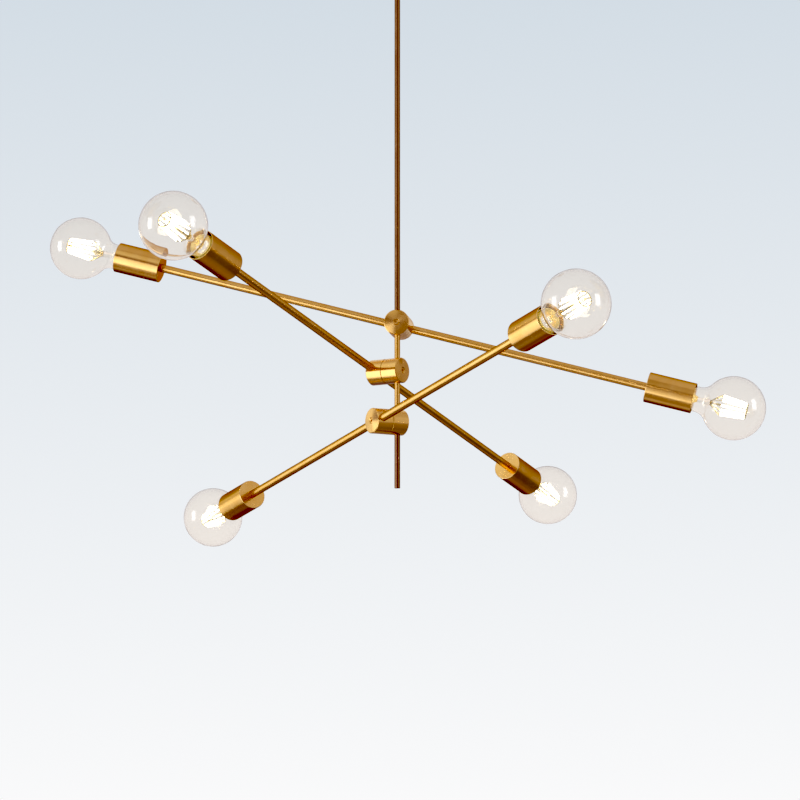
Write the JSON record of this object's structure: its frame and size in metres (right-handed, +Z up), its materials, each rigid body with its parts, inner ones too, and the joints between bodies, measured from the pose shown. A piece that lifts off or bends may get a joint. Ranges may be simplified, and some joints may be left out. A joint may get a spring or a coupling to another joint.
{
  "type": "multi arm chandelier",
  "caption": "Ceiling chandelier: a slim stem with split swivel hubs, each carrying a tilting straight arm with a globe bulb in a cup at both ends.",
  "frame": {"origin": "centre of the mounting bar's upper face, on the ceiling plane and on the stem's axis", "axes": "+Z up into the ceiling, along the stem; +X and +Y level, +X along the mounting bar's slots"},
  "size_m": [0.9079, 0.8156, 0.7291],
  "materials": {
    "satin_brass": "satin",
    "contact_brass": "polished",
    "plated_steel": "satin",
    "dark_steel": "satin",
    "porcelain": "gloss",
    "white_resin": "satin",
    "lead_sleeve": "satin",
    "clear_glass": "gloss",
    "filament": "gloss"
  },
  "bodies": {
    "ceiling_frame": {"canopy": "satin_brass", "mounting_bar": "plated_steel", "canopy_studs": "plated_steel", "canopy_nuts": "satin_brass", "threaded_nipple": "plated_steel", "nipple_nut": "plated_steel", "stem_collar": "satin_brass", "collar_screw": "dark_steel", "terminal_block": "white_resin", "terminal_clamps": "contact_brass", "supply_leads": "lead_sleeve", "stem_tube": "satin_brass"},
    "swivel_1": {"hub_1_stem_half": "satin_brass", "hub_1_stem_screw": "satin_brass", "hub_1_pivot_screw": "plated_steel", "hub_1_lead": "lead_sleeve"},
    "swivel_2": {"hub_2_stem_half": "satin_brass", "hub_2_stem_screw": "satin_brass", "hub_2_pivot_screw": "plated_steel", "hub_2_lead": "lead_sleeve"},
    "swivel_3": {"hub_3_stem_half": "satin_brass", "hub_3_stem_screw": "satin_brass", "hub_3_pivot_screw": "plated_steel", "hub_3_lead": "lead_sleeve"},
    "arm_1": {"hub_1_arm_half": "satin_brass", "hub_1_arm_screw": "satin_brass", "hub_1_retaining_ring": "plated_steel", "hub_1_spring_washer": "plated_steel", "arm_1_tube": "satin_brass", "arm_1_leads": "lead_sleeve", "arm_1_socket_cups": "satin_brass", "arm_1_lampholders": "porcelain", "arm_1_contacts": "contact_brass", "arm_1_bulb_glass": "clear_glass", "arm_1_bulb_caps": "contact_brass", "arm_1_filaments": "filament"},
    "arm_2": {"hub_2_arm_half": "satin_brass", "hub_2_arm_screw": "satin_brass", "hub_2_retaining_ring": "plated_steel", "hub_2_spring_washer": "plated_steel", "arm_2_tube": "satin_brass", "arm_2_leads": "lead_sleeve", "arm_2_socket_cups": "satin_brass", "arm_2_lampholders": "porcelain", "arm_2_contacts": "contact_brass", "arm_2_bulb_glass": "clear_glass", "arm_2_bulb_caps": "contact_brass", "arm_2_filaments": "filament"},
    "arm_3": {"hub_3_arm_half": "satin_brass", "hub_3_arm_screw": "satin_brass", "hub_3_retaining_ring": "plated_steel", "hub_3_spring_washer": "plated_steel", "arm_3_tube": "satin_brass", "arm_3_leads": "lead_sleeve", "arm_3_socket_cups": "satin_brass", "arm_3_lampholders": "porcelain", "arm_3_contacts": "contact_brass", "arm_3_bulb_glass": "clear_glass", "arm_3_bulb_caps": "contact_brass", "arm_3_filaments": "filament"}
  },
  "joints": [
    {"name": "hub_1_swivel", "type": "hinge", "parent": "ceiling_frame", "child": "swivel_1", "pos_m": [0, 0, -0.4743], "axis": [0, 0, 1], "range_deg": [-40, 40]},
    {"name": "arm_1_tilt", "type": "hinge", "parent": "swivel_1", "child": "arm_1", "pos_m": [0.00428, 0.02969, -0.4743], "axis": [0.1426, 0.9898, 0], "range_deg": [-50, 45]},
    {"name": "hub_2_swivel", "type": "hinge", "parent": "ceiling_frame", "child": "swivel_2", "pos_m": [0, 0, -0.535], "axis": [0, 0, 1], "range_deg": [-40, 40]},
    {"name": "arm_2_tilt", "type": "hinge", "parent": "swivel_2", "child": "arm_2", "pos_m": [-0.0249, 0.01673, -0.535], "axis": [-0.83, 0.5577, 0], "range_deg": [-51.3, 43.7]},
    {"name": "hub_3_swivel", "type": "hinge", "parent": "ceiling_frame", "child": "swivel_3", "pos_m": [0, 0, -0.6006], "axis": [0, 0, 1], "range_deg": [-40, 40]},
    {"name": "arm_3_tilt", "type": "hinge", "parent": "swivel_3", "child": "arm_3", "pos_m": [-0.02533, -0.01607, -0.6006], "axis": [-0.8443, -0.5358, 0], "range_deg": [-46.8, 48.2]}
  ]
}
